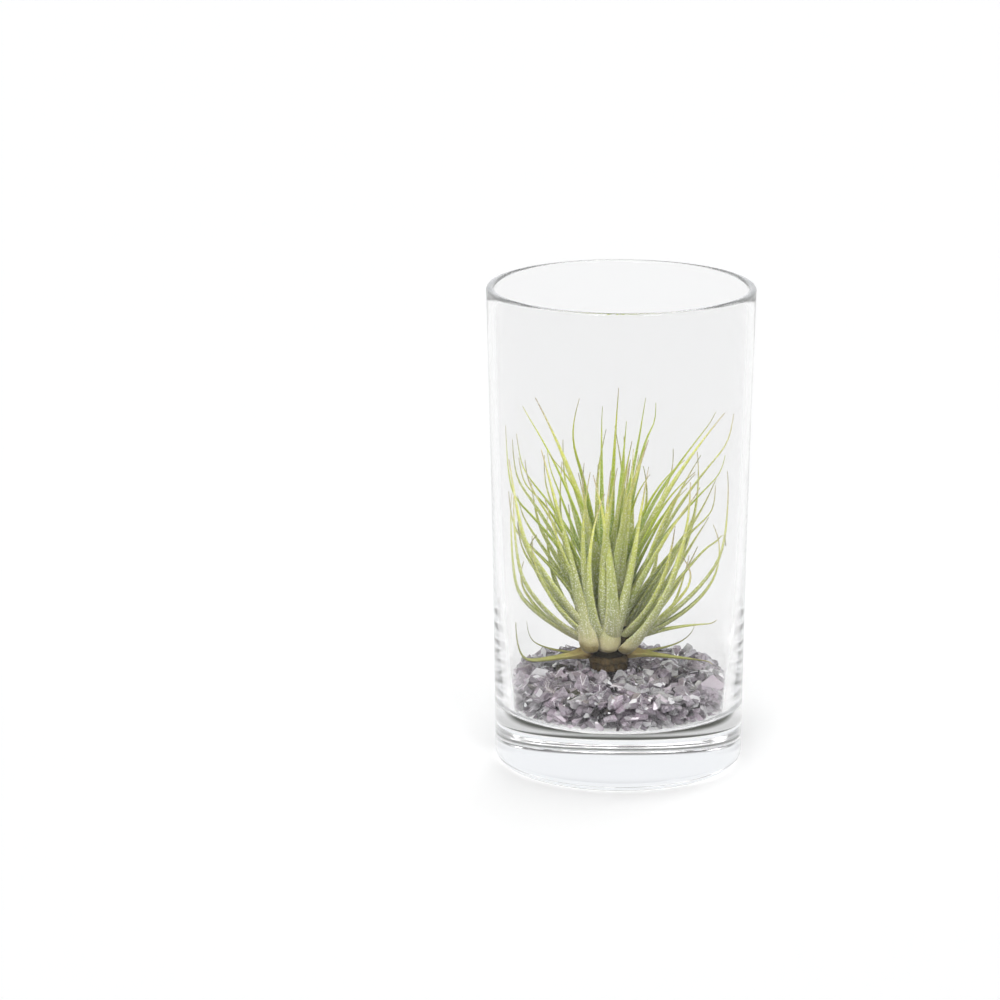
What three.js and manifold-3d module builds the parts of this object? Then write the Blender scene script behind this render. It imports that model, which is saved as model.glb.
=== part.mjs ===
// An air plant in a straight-sided glass tumbler, standing on a bed of crushed amethyst chips.
//
// Units are millimetres and +Z is up. The origin is the centre of the ring that the tumbler stands on.
// The pieces, from the outside in: the tumbler, the chip bed, the dark root stub, the withered leaves that
// lie on the chips, and the green rosette. Each rests on the one below it.
import * as THREE from "three";
import { mergeVertices } from "three/addons/utils/BufferGeometryUtils.js";
import Module from "manifold-3d";

const wasm = await Module();
wasm.setup();

// ---- Driving dimensions ----

const GAP = 0.3; // between a piece and what it rests on

const TUMBLER = {
  height: 120,
  rimRadius: 33,
  baseRadius: 30.7,
  bow: 0.3, // how far the wall draws in, half way up, from a straight taper
  wall: 1.9, // at the rim
  swell: 2.2, // how much thicker the wall is at the floor
  swellHeight: 22, // the height over which that fades to about a third
  floor: 14, // the thick base, up to the inner floor
  fillet: 2, // between the inner floor and wall
  heel: 2.7, // the rounded outer foot edge
  footInner: 23.5, // the standing ring's inner radius
  recess: 0.4, // how far the underside is hollowed inside that ring
  segments: 48,
};

const BED = {
  top: 22.6, // the level of the chips' upper surface
  roughness: 0.8, // how far single chips stand above or below it
  topChips: 76,
  wallRows: [17, 20.4],
  wallChips: 20, // in each row
  wallGap: 0.45,
  coreDrop: 1.7, // the fused core's top lies this far under the chips
  chipHalf: [3.3, 2.3, 1.5], // half a chip's length, width and thickness
  seatRadius: 6.6, // the flat spot that the root stub stands on
  seatLevel: 22.0,
};

const PLANT = {
  x: -2.5, // the plant stands a little to the left of the tumbler's axis, and behind it
  y: 1.5,
  stubRadius: 4.6,
  stubTop: 24.0,
  collarRadius: 4.9, // the roots of the withered leaves, round the stem
  collarTop: 25.6,
  witheredTop: 26.9, // outside the neck, the swollen roots of the withered leaves end here
  neckRadius: 4.2,
  leafLow: 27.2, // and the living leaves begin here
  bulbRadius: 6,
  bulbHeight: 12,
  wallRoom: 1.2, // the least room between a leaf's middle line and the glass
  bendRoom: 5, // a leaf starts to turn up this much further from the glass
};
PLANT.rosetteLow = PLANT.collarTop + GAP;

// The spiral of living leaves. Pairs run from the lowest, outermost leaf to the youngest. A lean is an angle
// from the vertical, in degrees.
const ROSETTE = {
  leaves: 74,
  spiral: 137.508, // degrees from each leaf to the next
  lean: [72, 4],
  turn: [-60, 26], // how much further a tip leans than its root
  length: [50, 67],
  leaningShort: 0.3, // the share of its length that a leaf loses as it leans out
  sidewaysShort: 0.08, // and the share that it loses towards the left and right
  halfWidth: [2.3, 1.7],
  startRadius: [3.4, 0.6],
  startLift: [2, 7.5], // above the rosette's underside
  heart: 0.7, // leaves past this share of the spiral are still growing
  heartShort: 20, // and are up to this much shorter
  leanBack: 0.4, // the plant leans back, so its front leaves stand up by this share
  frontLong: 0.25, // and its oldest front leaves are longer by this share
  hooked: 0.12, // the share of leaves with a bent tip
  hookAngle: 50,
};

const SPINE_STEPS = 24;
const BLADE_STATIONS = [0, 0.06, 0.2, 0.36, 0.53, 0.7, 0.86, 1]; // where a blade has its sections
const THINNEST_BLADE = 0.62;
const SHEATH = { at: 0.05, reach: 0.12, width: 0.12, depth: 1.3 }; // the swollen root of a broad old leaf

// ---- Small helpers ----

const { lerp, degToRad, clamp, smoothstep } = THREE.MathUtils;

// A repeatable draw from 0 to 1 for item i, and one from -1 to 1.
function noise(i, k) {
  const v = Math.sin(i * 12.9898 + k * 78.233) * 43758.5453;
  return v - Math.floor(v);
}
const sway = (i, k) => 2 * noise(i, k) - 1;

function solidOf(geometry) {
  const bare = geometry.index ? geometry.toNonIndexed() : geometry.clone();
  bare.deleteAttribute("normal");
  bare.deleteAttribute("uv");
  const merged = mergeVertices(bare, 1e-4);
  return new wasm.Manifold(
    new wasm.Mesh({
      numProp: 3,
      vertProperties: new Float32Array(merged.attributes.position.array),
      triVerts: new Uint32Array(merged.index.array),
    }),
  );
}

function geometryOf(solid) {
  const { vertProperties, triVerts } = solid.getMesh();
  const geometry = new THREE.BufferGeometry();
  geometry.setAttribute("position", new THREE.BufferAttribute(vertProperties, 3));
  geometry.setIndex(new THREE.BufferAttribute(triVerts, 1));
  geometry.computeVertexNormals();
  return geometry;
}

// Joins closed geometries into one solid.
const joined = (geometries) => geometries.map(solidOf).reduce((whole, solid) => whole.add(solid));

// A lathe turned about Z from [radius, height] pairs.
function turned(profile, segments) {
  const points = profile.map(([r, z]) => new THREE.Vector2(r, z));
  return new THREE.LatheGeometry(points, segments).rotateX(Math.PI / 2);
}

// Points on an arc about (r, z), from one angle to another in degrees.
function arc(r, z, radius, from, to, steps) {
  return Array.from({ length: steps + 1 }, (_, k) => {
    const a = degToRad(lerp(from, to, k / steps));
    return [r + radius * Math.cos(a), z + radius * Math.sin(a)];
  });
}

// ---- The tumbler ----

function outerRadius(z) {
  const t = z / TUMBLER.height;
  return lerp(TUMBLER.baseRadius, TUMBLER.rimRadius, t) - TUMBLER.bow * 4 * t * (1 - t);
}
function innerRadius(z) {
  const swell = TUMBLER.swell * Math.exp((TUMBLER.floor - z) / TUMBLER.swellHeight);
  return outerRadius(z) - TUMBLER.wall - swell;
}

function tumblerGeometry() {
  const { height, wall, floor, fillet, heel, footInner, recess, segments } = TUMBLER;
  const lip = wall / 2;
  const levels = [floor + fillet, 28, 44, 75, height - lip];
  const heelRadius = outerRadius(heel) - heel;
  const filletRadius = innerRadius(floor + fillet) - fillet;
  return turned(
    [
      [0, recess],
      [footInner * 0.55, recess * 0.8],
      [footInner, 0],
      ...arc(heelRadius, heel, heel, -90, 0, 3),
      ...levels.map((z) => [outerRadius(z), z]),
      ...arc(outerRadius(height - lip) - lip, height - lip, lip, 0, 180, 4).slice(1, -1),
      ...levels.slice(1).reverse().map((z) => [innerRadius(z), z]),
      ...arc(filletRadius, floor + fillet, fillet, 0, -90, 3),
      [0, floor],
    ],
    segments,
  );
}

// ---- The chip bed ----

// A split shard: an octahedron with uneven corners, stretched and turned at random.
function chipGeometry(i, scale) {
  const shard = new THREE.OctahedronGeometry(1, 0);
  const corners = shard.attributes.position;
  const corner = new THREE.Vector3();
  for (let v = 0; v < corners.count; v++) {
    corner.fromBufferAttribute(corners, v);
    const key = corner.x + 2 * corner.y + 3 * corner.z; // the same for every face that meets here
    corner.multiplyScalar(1 + 0.22 * sway(i, 30 + key));
    corners.setXYZ(v, corner.x, corner.y, corner.z);
  }
  shard.scale(...BED.chipHalf.map((half) => half * scale));
  shard.rotateX(degToRad(55) * sway(i, 41));
  shard.rotateY(degToRad(40) * sway(i, 42));
  return shard.rotateZ(Math.PI * sway(i, 43));
}

// Moves a chip out along an angle as far as the glass lets it, or to a radius if that is nearer. Its middle
// goes to a level, or its highest corner goes to a top level.
function settle(shard, angle, { radius = Infinity, level, top }) {
  const limit = innerRadius(level ?? top) - BED.wallGap;
  const corners = shard.attributes.position;
  let r = radius;
  let highest = -Infinity;
  for (let v = 0; v < corners.count; v++) {
    const outward = corners.getX(v) * Math.cos(angle) + corners.getY(v) * Math.sin(angle);
    const across = corners.getY(v) * Math.cos(angle) - corners.getX(v) * Math.sin(angle);
    r = Math.min(r, Math.sqrt(limit ** 2 - across ** 2) - outward);
    highest = Math.max(highest, corners.getZ(v));
  }
  return shard.translate(r * Math.cos(angle), r * Math.sin(angle), level ?? top - highest);
}

function topChips() {
  const reach = innerRadius(BED.top) - BED.wallGap;
  return Array.from({ length: BED.topChips }, (_, i) =>
    settle(chipGeometry(i, 0.85 + 0.3 * noise(i, 45)), i * degToRad(ROSETTE.spiral), {
      radius: reach * Math.sqrt((i + 0.5) / BED.topChips),
      top: BED.top + BED.roughness * sway(i, 44),
    }),
  );
}

function wallChips() {
  return BED.wallRows.flatMap((level, row) =>
    Array.from({ length: BED.wallChips }, (_, k) => {
      const i = BED.topChips + row * BED.wallChips + k;
      const angle = ((k + 0.5 * row + 0.25 * sway(i, 46)) / BED.wallChips) * 2 * Math.PI;
      return settle(chipGeometry(i, 0.85), angle, { level: level + 0.4 * sway(i, 47) });
    }),
  );
}

function chipBedGeometry() {
  const { floor, fillet } = TUMBLER;
  const low = floor + GAP;
  const corner = innerRadius(floor + fillet) - fillet;
  const side = innerRadius(floor + fillet) - 1;
  const coreTop = BED.top - BED.coreDrop;
  const core = turned(
    [
      [0, low],
      [corner, low],
      [side - 1, low + fillet * 0.55],
      [side, coreTop - 1],
      [side - 1, coreTop],
      [0, coreTop],
    ],
    28,
  );
  const seatDepth = 6;
  const seat = new THREE.CylinderGeometry(BED.seatRadius, BED.seatRadius, seatDepth, 16)
    .rotateX(Math.PI / 2)
    .translate(PLANT.x, PLANT.y, BED.seatLevel + seatDepth / 2);
  const cavity = turned(
    [
      [0, low],
      ...arc(corner, floor + fillet, fillet - GAP, -90, 0, 4),
      [innerRadius(BED.top) - BED.wallGap + 0.1, BED.top + 4],
      [0, BED.top + 4],
    ],
    TUMBLER.segments,
  );
  const pile = joined([core, ...topChips(), ...wallChips()]);
  return geometryOf(largest(pile.intersect(solidOf(cavity)).subtract(solidOf(seat))));
}

// The biggest body of a solid, without loose scraps that a cut leaves.
function largest(solid) {
  return solid.decompose().reduce((a, b) => (a.volume() > b.volume() ? a : b));
}

// ---- Leaves ----

// Leaf number i of the spiral.
function rosetteLeaf(i) {
  const age = i / (ROSETTE.leaves - 1); // 0 is the oldest leaf
  const from = ([oldest, youngest], share = age) => lerp(oldest, youngest, Math.min(1, share));
  const azimuth = degToRad(i * ROSETTE.spiral + 9 * sway(i, 1));
  const facing = Math.max(0, -Math.sin(azimuth)) ** 2;
  const lean = (from(ROSETTE.lean, age ** 0.85) + 6 * sway(i, 2)) * (1 - ROSETTE.leanBack * facing);
  const shortening = ROSETTE.leaningShort * Math.sin(degToRad(lean));
  const reaching = 1 + ROSETTE.frontLong * facing * (1 - age) - ROSETTE.sidewaysShort * Math.cos(azimuth) ** 2;
  const grown = from(ROSETTE.length, (age / 0.85) ** 1.3) * (1 - shortening) * reaching;
  const growing = Math.max(0, (age - ROSETTE.heart) / (1 - ROSETTE.heart));
  return {
    azimuth,
    lean: degToRad(lean),
    tipLean: degToRad(lean + from(ROSETTE.turn, age * 1.5) + 13 * sway(i, 3)),
    bend: 1,
    length: grown * (1 + 0.09 * sway(i, 4)) - ROSETTE.heartShort * growing * noise(i, 9),
    drift: 0.14 * sway(i, 5),
    wave: degToRad(9 * sway(i, 6)),
    hook: noise(i, 8) < ROSETTE.hooked ? degToRad(ROSETTE.hookAngle * Math.sign(sway(i, 10))) : 0,
    start: [from(ROSETTE.startRadius), PLANT.rosetteLow + from(ROSETTE.startLift)],
    halfWidth: from(ROSETTE.halfWidth) * (1 + 0.14 * sway(i, 7)),
    sheath: 0,
  };
}

// Leaves that are easy to pick out: azimuth, lean, tip lean, how late it bends, length, drift to its left as a
// share of its length, start radius, start height above the rosette's underside, half width, and how far its
// root is swollen into a sheath. Azimuth 0 is to the right and 270 is to the front.
const FEATURE_LEAVES = [
  [356, 63, 88, 0.8, 24.5, 0.0, 3.8, 2.8, 1.5, 0], // short, level at its tip
  [353, 64, -30, 2.2, 43, 0.02, 3.8, 2.9, 1.9, 0.3], // turns up beside the glass
  [346, 58, -8, 1.5, 56, 0.03, 3.8, 3.1, 2.1, 0],
  [20, 50, -6, 1.2, 53, 0.05, 3.6, 3.2, 2.0, 0],
  [342, 10, 42, 0.7, 66, 0.02, 3.0, 4.6, 2.0, 0], // long, arching over to the right
  [267, 8, 8, 1, 57, 0.17, 4.9, 1.9, 3.0, 1], // the broad ones that face the front
  [290, 14, 12, 1, 61, 0.38, 3.2, 4.4, 2.3, 0],
  [226, 15, 8, 1, 54, -0.12, 6.8, 1.9, 2.9, 1],
  [258, 12, 8, 1, 65, -0.24, 3.2, 4.4, 2.4, 0],
  [318, 48, -4, 1, 52, 0.04, 5.0, 1.5, 2.7, 0.7],
  [188, 67, -8, 1.3, 49, -0.02, 4.0, 3.0, 2.2, 0.3], // the left edge
  [203, 60, -6, 1.2, 48, -0.05, 4.0, 3.0, 2.4, 0.3],
  [218, 42, 20, 1, 56, -0.12, 3.9, 3.3, 2.6, 0],
].map(([azimuth, lean, tipLean, bend, length, drift, radius, lift, halfWidth, sheath]) => ({
  azimuth: degToRad(azimuth),
  lean: degToRad(lean),
  tipLean: degToRad(tipLean),
  bend,
  length,
  drift,
  wave: 0,
  hook: 0,
  start: [radius, PLANT.rosetteLow + lift],
  halfWidth,
  sheath,
}));

// Withered leaves, low over the chips: azimuth, lean, tip lean, how late it bends, length, drift, half width,
// start radius, start height above the collar's top, and how far its root is swollen.
const WITHERED_LEAVES = [
  [192, 95, 0, 4, 28, 0.06, 2.2, 4.2, 0.6, 0.3],
  [352, 93, 94, 1.5, 22.5, -0.03, 2.1, 4.2, 0.6, 0.3],
  [20, 88, 10, 5, 24, 0.1, 1.2, 3, -0.7, 0],
  [166, 88, 14, 4, 23, -0.08, 1.1, 3, -0.7, 0],
  [75, 88, 70, 3, 22, 0.1, 1.4, 3, -0.7, 0],
  [116, 88, 80, 3, 20, -0.12, 1.3, 3, -0.7, 0],
].map(([azimuth, lean, tipLean, bend, length, drift, halfWidth, radius, lift, sheath]) => ({
  azimuth: degToRad(azimuth),
  lean: degToRad(lean),
  tipLean: degToRad(tipLean),
  bend,
  length,
  drift,
  wave: 0,
  hook: 0,
  start: [radius, PLANT.collarTop + lift],
  halfWidth,
  sheath,
}));

// A leaf's middle line. It turns up where it nears the glass.
function spineOf(leaf) {
  const out = new THREE.Vector3(Math.cos(leaf.azimuth), Math.sin(leaf.azimuth), 0);
  const left = new THREE.Vector3(-out.y, out.x, 0);
  const sideAt = (t) => leaf.drift * leaf.length * t * t;
  const place = (r, z, side) =>
    new THREE.Vector3(PLANT.x, PLANT.y, z).addScaledVector(out, r).addScaledVector(left, side);
  const step = leaf.length / SPINE_STEPS;
  let [r, z] = leaf.start;
  const points = [place(r, z, 0)];
  for (let k = 0; k < SPINE_STEPS; k++) {
    const s = (k + 0.5) / SPINE_STEPS;
    const wave = leaf.wave * Math.sin(2 * Math.PI * s * 1.3) * s;
    const hook = leaf.hook * smoothstep(s, 0.72, 1);
    const lean = leaf.lean + (leaf.tipLean - leaf.lean) * s ** leaf.bend + wave + hook;
    const here = place(r, z, sideAt(s));
    const clear = innerRadius(z) - PLANT.wallRoom - Math.hypot(here.x, here.y);
    const room = clamp(clear / PLANT.bendRoom, -0.15, 1);
    const turn = room > 0 ? room * room * (3 - 2 * room) : room;
    const outward = Math.sin(lean) > 0 ? Math.sin(lean) * turn : Math.sin(lean);
    r += outward * step;
    z += Math.sqrt(1 - outward * outward) * (Math.cos(lean) < 0 ? -1 : 1) * step;
    points.push(place(r, z, sideAt((k + 1) / SPINE_STEPS)));
  }
  return { points, left };
}

// The place, direction, width axis and inner face of a leaf at share s of its length.
function spineFrame({ points, left }, s) {
  const at = s * (points.length - 1);
  const k = Math.min(points.length - 2, Math.floor(at));
  const along = points[k + 1].clone().sub(points[k]);
  const centre = points[k].clone().addScaledVector(along, at - k);
  const before = points[Math.max(0, k - 1)];
  const after = points[Math.min(points.length - 1, k + 2)];
  along.subVectors(after, before).normalize();
  const across = left.clone().addScaledVector(along, -left.dot(along)).normalize();
  return { centre, across, inner: along.clone().cross(across) };
}

const swelling = (leaf, s) => leaf.sheath * Math.exp(-(((s - SHEATH.at) / SHEATH.reach) ** 2));
const shoulder = (s) => 0.5 + 0.5 * Math.min(1, s / 0.06); // rounded in at the root
const bladeHalfWidth = (leaf, s) => {
  const share = shoulder(s) * ((1 - s) ** 1.35 + SHEATH.width * swelling(leaf, s));
  return Math.max(0.36, 0.15 + leaf.halfWidth * share);
};
const bladeThickness = (s) => Math.max(THINNEST_BLADE, 0.45 + 1.25 * (1 - s) ** 2);

// A keeled blade: a four-sided cylinder whose sections are fitted to the middle line. Its edges stand up a
// little, so that the side towards the heart of the plant is a shallow channel.
function bladeGeometry(leaf) {
  const spine = spineOf(leaf);
  const blade = new THREE.CylinderGeometry(1, 1, 1, 4, BLADE_STATIONS.length - 1);
  const points = blade.attributes.position;
  const corner = new THREE.Vector3();
  for (let v = 0; v < points.count; v++) {
    corner.fromBufferAttribute(points, v);
    const s = BLADE_STATIONS[Math.round((corner.y + 0.5) * (BLADE_STATIONS.length - 1))];
    const { centre, across, inner } = spineFrame(spine, s);
    const width = bladeHalfWidth(leaf, s);
    const edge = Math.abs(corner.x) > 0.5 ? 0.3 * width : 0;
    const belly = corner.z < -0.5 ? SHEATH.depth * shoulder(s) * swelling(leaf, s) : 0;
    const depth = corner.z * 0.5 * bladeThickness(s) + edge - belly;
    centre.addScaledVector(across, -corner.x * width).addScaledVector(inner, depth);
    points.setXYZ(v, centre.x, centre.y, centre.z);
  }
  return blade;
}

function rosetteGeometry() {
  const { neckRadius, bulbRadius, bulbHeight, rosetteLow, leafLow, x, y } = PLANT;
  const crown = turned(
    [
      [0, rosetteLow],
      [neckRadius, rosetteLow],
      [neckRadius, leafLow],
      [bulbRadius * 0.94, leafLow + 1.2],
      [bulbRadius, rosetteLow + bulbHeight * 0.4],
      [bulbRadius * 0.6, rosetteLow + bulbHeight * 0.75],
      [0, rosetteLow + bulbHeight],
    ],
    14,
  ).translate(x, y, 0);
  const leaves = [...Array.from({ length: ROSETTE.leaves }, (_, i) => rosetteLeaf(i)), ...FEATURE_LEAVES];
  const fan = joined(leaves.map(bladeGeometry)).subtract(block(0, leafLow));
  return geometryOf(largest(fan.add(solidOf(crown))));
}

function witheredGeometry() {
  const { collarRadius, collarTop, neckRadius, stubTop, witheredTop, x, y } = PLANT;
  const low = stubTop + GAP;
  const collar = new THREE.CylinderGeometry(collarRadius, collarRadius * 1.06, collarTop - low, 14)
    .rotateX(Math.PI / 2)
    .translate(x, y, (low + collarTop) / 2);
  const neckRoom = block(collarTop, witheredTop + 6, neckRadius + GAP);
  const rootRoom = block(witheredTop, witheredTop + 6, 11);
  const whole = joined([collar, ...WITHERED_LEAVES.map(bladeGeometry)]);
  return geometryOf(largest(whole.subtract(neckRoom).subtract(rootRoom)));
}

// A round block about the plant's axis, to cut with.
function block(from, to, radius = 40) {
  const cutter = new THREE.CylinderGeometry(radius, radius, to - from, 24).rotateX(Math.PI / 2);
  return solidOf(cutter.translate(PLANT.x, PLANT.y, (from + to) / 2));
}

// The short dark stem end, with its uneven skin of dead leaf bases.
function stubGeometry() {
  const { stubRadius, stubTop, x, y } = PLANT;
  const low = BED.seatLevel + GAP;
  const height = stubTop - low;
  const stub = new THREE.CylinderGeometry(stubRadius, stubRadius * 1.08, height, 14, 2);
  const points = stub.attributes.position;
  for (let v = 0; v < points.count; v++) {
    const turn = Math.round((Math.atan2(points.getZ(v), points.getX(v)) / (2 * Math.PI)) * 14 + 14) % 14;
    const rough = 1 + 0.07 * sway(turn, 70 + Math.round(points.getY(v)));
    points.setX(v, points.getX(v) * rough);
    points.setZ(v, points.getZ(v) * rough);
  }
  return stub.rotateX(Math.PI / 2).translate(x, y, low + height / 2);
}

// ---- The whole ----

function mesh(name, geometry, color, roughness, extra = {}) {
  const material = new THREE.MeshStandardMaterial({ color, roughness, metalness: 0, ...extra });
  const piece = new THREE.Mesh(geometry, material);
  piece.name = name;
  return piece;
}

const airPlant = new THREE.Group();
airPlant.add(
  mesh("glass_tumbler", tumblerGeometry(), 0xeef2f0, 0.04, { transparent: true, opacity: 0.35 }),
  mesh("chip_bed", chipBedGeometry(), 0x9a8aa0, 0.2),
  mesh("root_stub", stubGeometry(), 0x3a2c22, 0.9),
  mesh("withered_leaves", witheredGeometry(), 0xa9a05a, 0.75),
  mesh("rosette", rosetteGeometry(), 0x9fae6e, 0.7),
);

export default airPlant;
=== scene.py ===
"""An air plant in a straight-sided glass tumbler, standing on a bed of crushed amethyst chips.

The pieces are modelled in millimetres, +Z up, about the middle of the tumbler's foot, and are scaled to the
frame's metres when they are finished. The rules that place the leaves and the chips are those of the solids
that the pieces stand for, so every leaf and chip keeps its place.
"""

from __future__ import annotations

import logging
import math
from collections.abc import Callable, Iterator
from contextlib import contextmanager
from dataclasses import dataclass, field
from enum import Enum

import bpy
from mathutils import Euler, Matrix, Vector


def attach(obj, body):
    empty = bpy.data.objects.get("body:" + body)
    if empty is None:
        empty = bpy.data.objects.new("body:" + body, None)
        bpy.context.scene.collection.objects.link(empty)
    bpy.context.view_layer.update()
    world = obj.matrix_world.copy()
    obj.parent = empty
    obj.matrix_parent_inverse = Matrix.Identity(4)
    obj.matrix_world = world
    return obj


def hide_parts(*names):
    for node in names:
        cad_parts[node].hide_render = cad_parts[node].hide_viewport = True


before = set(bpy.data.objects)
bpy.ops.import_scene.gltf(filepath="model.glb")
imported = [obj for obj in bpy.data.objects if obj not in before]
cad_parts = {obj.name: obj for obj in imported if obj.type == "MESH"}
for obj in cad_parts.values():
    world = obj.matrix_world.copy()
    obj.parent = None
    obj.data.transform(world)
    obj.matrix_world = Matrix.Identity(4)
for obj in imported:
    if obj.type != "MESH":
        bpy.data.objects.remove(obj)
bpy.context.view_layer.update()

Thing = bpy.types.Object
Pair = tuple[float, float]
Stops = tuple[tuple[float, str], ...]  # the places and colour codes of a ramp

LOG = logging.getLogger("air_plant")
MM = 0.001
BODY = "root"
GAP = 0.3  # mm between a piece and what it rests on
GOLDEN_ANGLE = 137.508  # degrees from one item of a spiral to the next
SORT_FROM = (7.3, 3.1, 1.7)  # mm, off the axis and between the sides, so that no two points tie


# ---- Numbers and draws ----


def lerp(a: float, b: float, t: float) -> float:
    """The number a share t of the way from a to b."""
    return a + (b - a) * t


def clamp(value: float, low: float, high: float) -> float:
    """The value, held between low and high."""
    return max(low, min(high, value))


def smoothstep(value: float, low: float, high: float) -> float:
    """0 below low, 1 above high, and a smooth rise between them."""
    t = clamp((value - low) / (high - low), 0, 1)
    return t * t * (3 - 2 * t)


def noise(i: float, k: float) -> float:
    """A repeatable draw from 0 to 1 for item i, of kind k."""
    v = math.sin(i * 12.9898 + k * 78.233) * 43758.5453
    return v - math.floor(v)


def sway(i: float, k: float) -> float:
    """A repeatable draw from -1 to 1 for item i, of kind k."""
    return 2 * noise(i, k) - 1


def arc(r: float, z: float, radius: float, start: float, end: float, steps: int) -> list[Pair]:
    """Points on an arc in the (radius, height) plane.

    Args:
        r: the centre's distance from the axis.
        z: the centre's height.
        radius: the arc's radius.
        start: the first angle, in degrees from outward.
        end: the last angle.
        steps: how many chords the arc has.

    Returns:
        The points as (radius, height) pairs.
    """
    angles = [math.radians(lerp(start, end, k / steps)) for k in range(steps + 1)]
    return [(r + radius * math.cos(a), z + radius * math.sin(a)) for a in angles]


# ---- Modelling by hand ----


def only(*objects: Thing) -> None:
    """Selects objects alone.

    Args:
        objects: the objects, with the one to make active first.
    """
    bpy.ops.object.select_all(action="DESELECT")
    for thing in objects:
        thing.select_set(True)
    bpy.context.view_layer.objects.active = objects[0]


def added(operator: Callable, name: str, **settings: object) -> Thing:
    """Adds a primitive with nothing else selected.

    Args:
        operator: the primitive's operator.
        name: the new object's name.
        settings: what the operator is given.

    Returns:
        The new object.
    """
    bpy.ops.object.select_all(action="DESELECT")
    operator(**settings)
    bpy.context.object.name = name
    return bpy.context.object


@contextmanager
def edit_mode(thing: Thing) -> Iterator[None]:
    """Edits one mesh, and leaves edit mode again.

    Args:
        thing: the object to edit.

    Yields:
        Nothing. All of the mesh is selected.
    """
    only(thing)
    bpy.ops.object.mode_set(mode="EDIT")
    bpy.ops.mesh.select_mode(type="VERT")
    bpy.ops.mesh.select_all(action="SELECT")
    yield
    bpy.ops.object.mode_set(mode="OBJECT")


def facing_out(weld: float = 0) -> None:
    """Turns the faces of the mesh in edit mode outwards.

    Args:
        weld: points nearer to each other than this are made one first.
    """
    bpy.ops.mesh.select_all(action="SELECT")
    if weld:
        bpy.ops.mesh.remove_doubles(threshold=weld)
    bpy.ops.mesh.normals_make_consistent(inside=False)


def pick(thing: Thing, test: Callable[[Vector], bool]) -> None:
    """Selects the vertices of a mesh in edit mode by their place.

    Args:
        thing: the object in edit mode.
        test: says whether a vertex at a place is wanted.
    """
    bpy.ops.mesh.select_all(action="DESELECT")
    bpy.ops.object.mode_set(mode="OBJECT")
    for vertex in thing.data.vertices:
        vertex.select = test(vertex.co)
    bpy.ops.object.mode_set(mode="EDIT")


def turned(name: str, profile: list[Pair], steps: int) -> Thing:
    """A closed body, spun about Z from a profile that starts and ends on the axis.

    Args:
        name: the object's name.
        profile: (radius, height) pairs.
        steps: how many sides the body has.

    Returns:
        The object, smooth and facing outwards.
    """
    thing = added(bpy.ops.mesh.primitive_plane_add, name, size=1)
    with edit_mode(thing):
        bpy.ops.mesh.merge(type="CENTER")
        bpy.ops.transform.translate(value=(profile[0][0], 0, profile[0][1]))
        for (r0, z0), (r1, z1) in zip(profile, profile[1:]):
            bpy.ops.mesh.extrude_vertices_move(TRANSFORM_OT_translate={"value": (r1 - r0, 0, z1 - z0)})
        bpy.ops.mesh.select_all(action="SELECT")
        bpy.ops.mesh.spin(steps=steps, angle=2 * math.pi, center=(0, 0, 0), axis=(0, 0, 1))
        facing_out(weld=1e-4)
    bpy.ops.object.shade_smooth()
    return thing


def copied(master: Thing, name: str) -> Thing:
    """Copies an object.

    Args:
        master: the object.
        name: the copy's name.

    Returns:
        The copy, with its own mesh.
    """
    twin = master.copy()
    twin.data = master.data.copy()
    twin.name = name
    bpy.context.scene.collection.objects.link(twin)
    return twin


def sort_points() -> None:
    """Puts the points of the mesh in edit mode in one order, by how far from SORT_FROM they are."""
    cursor = bpy.context.scene.cursor
    cursor.location = SORT_FROM
    bpy.ops.mesh.sort_elements(type="CURSOR_DISTANCE", elements={"VERT"})
    cursor.location = (0, 0, 0)


def roughened(thing: Thing, cuts: int, depth: float, seed: int, spun: bool = False) -> None:
    """Cuts the faces of a piece up and moves its points in and out at random.

    Args:
        thing: the piece.
        cuts: how many cuts each edge gets.
        depth: how far a point moves at most.
        seed: the seed of the draws.
        spun: whether it was spun, which orders its edges anew each run, so that its points need sorting.
    """
    with edit_mode(thing):
        bpy.ops.mesh.subdivide(number_cuts=cuts)
        if spun:
            sort_points()
        bpy.ops.transform.vertex_random(offset=depth, normal=1.0, seed=seed)


def removed(*objects: Thing) -> None:
    """Deletes objects that are no longer needed."""
    for thing in objects:
        bpy.data.objects.remove(thing, do_unlink=True)


def settled(*things: Thing) -> None:
    """Writes the places, turns and sizes of objects into their meshes."""
    only(*things)
    bpy.ops.object.transform_apply(location=True, rotation=True, scale=True)


def joined(name: str, things: list[Thing]) -> Thing:
    """One object from many, with their places in its mesh.

    Args:
        name: the new object's name.
        things: the objects to join.

    Returns:
        The joined object.
    """
    settled(*things)
    if len(things) > 1:
        bpy.ops.object.join()
    whole = bpy.context.object
    whole.name = whole.data.name = name
    return whole


def apply_all(thing: Thing) -> None:
    """Applies every modifier of an object, in order.

    Args:
        thing: the object.
    """
    only(thing)
    for modifier in list(thing.modifiers):
        bpy.ops.object.modifier_apply(modifier=modifier.name)


def marked(thing: Thing, name: str, value: float) -> None:
    """Writes one number on all the points of a mesh, for its finish to read."""
    layer = thing.data.attributes.get(name) or thing.data.attributes.new(name, "FLOAT", "POINT")
    layer.data.foreach_set("value", [value] * len(thing.data.vertices))


def fitted(thing: Thing, material: bpy.types.Material, slot: str, *nodes: str) -> None:
    """Args:
        thing: the piece, in millimetres.
        material: its finish.
        slot: the record's material slot that the finish belongs to. It is not used.
        nodes: the solids that the piece stands for.
    """
    thing.scale = (MM, MM, MM)
    settled(thing)
    thing.data.materials.clear()
    thing.data.materials.append(material)
    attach(thing, BODY)
    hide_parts(*nodes)
    LOG.info("%s: %d faces, for %s", thing.name, len(thing.data.polygons), ", ".join(nodes))


# ---- Finishes ----


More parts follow.
